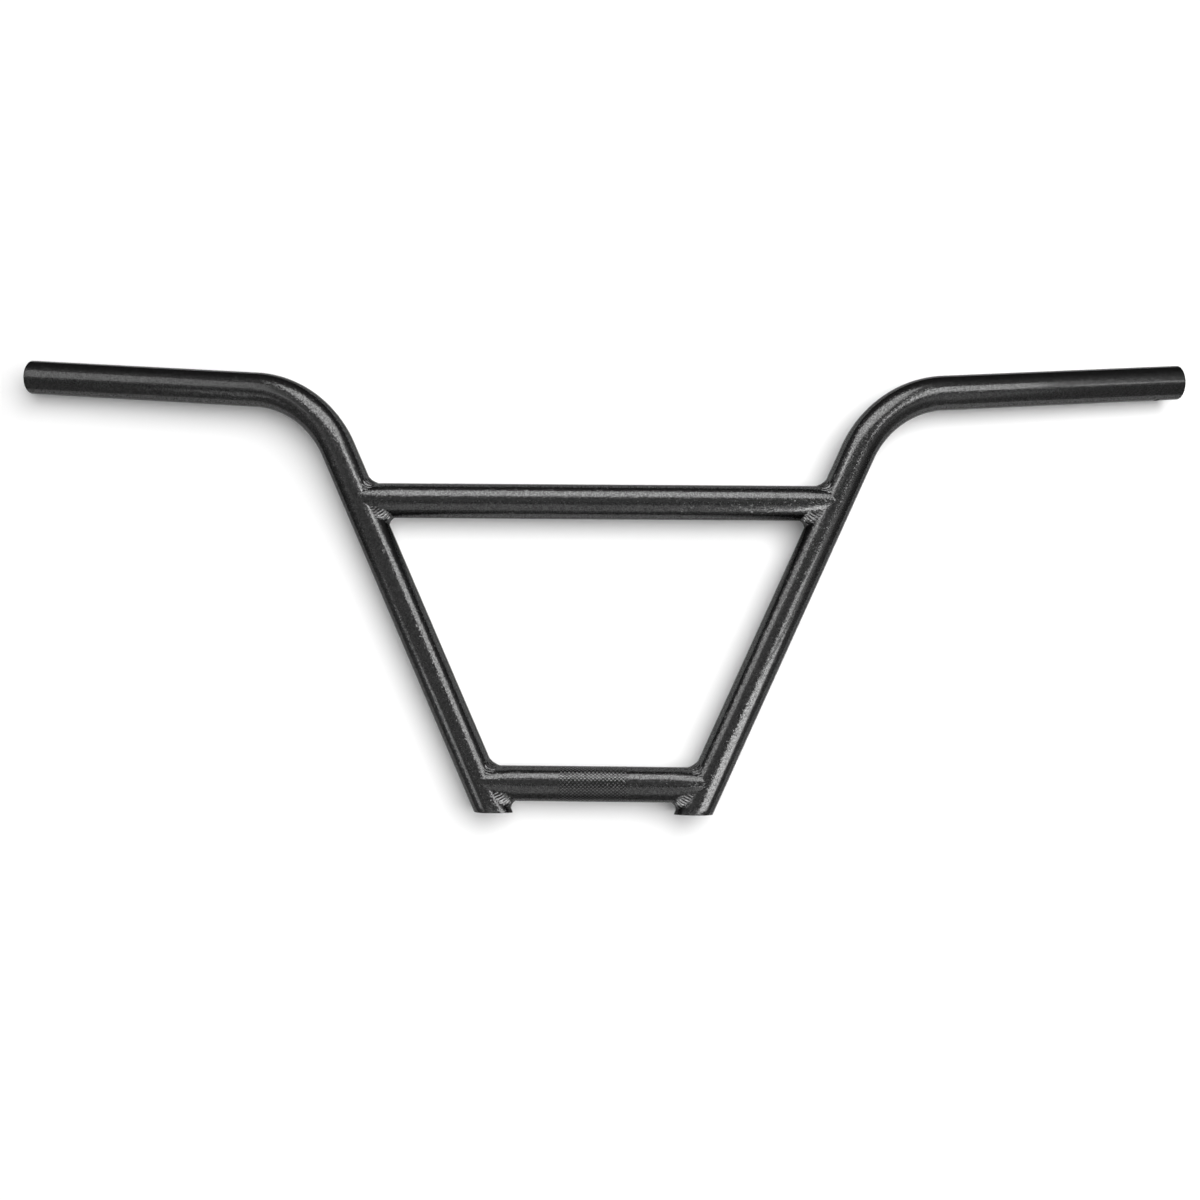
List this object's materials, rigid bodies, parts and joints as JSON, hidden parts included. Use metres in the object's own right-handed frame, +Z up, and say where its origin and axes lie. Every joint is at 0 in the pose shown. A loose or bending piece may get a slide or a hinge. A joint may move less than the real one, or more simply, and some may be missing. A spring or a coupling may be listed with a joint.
{
  "type": "bmx handlebar",
  "caption": "Welded steel bicycle handlebar: tall bent risers with swept grip ends, a straight crossbar and a knurled bar for the stem clamp.",
  "frame": {"origin": "middle of the clamp bar, on its axis", "axes": "+X along the clamp bar to the right grip as seen from the front, +Y back to the rider, +Z up"},
  "size_m": [0.7668, 0.0647, 0.2951],
  "materials": {
    "flake_paint": "dark grey metallic flake under gloss clear coat"
  },
  "bodies": {
    "root": {"left_riser": "flake_paint", "right_riser": "flake_paint", "crossbar": "flake_paint", "clamp_bar": "flake_paint", "crossbar_welds": "flake_paint", "clamp_welds": "flake_paint"}
  },
  "joints": []
}
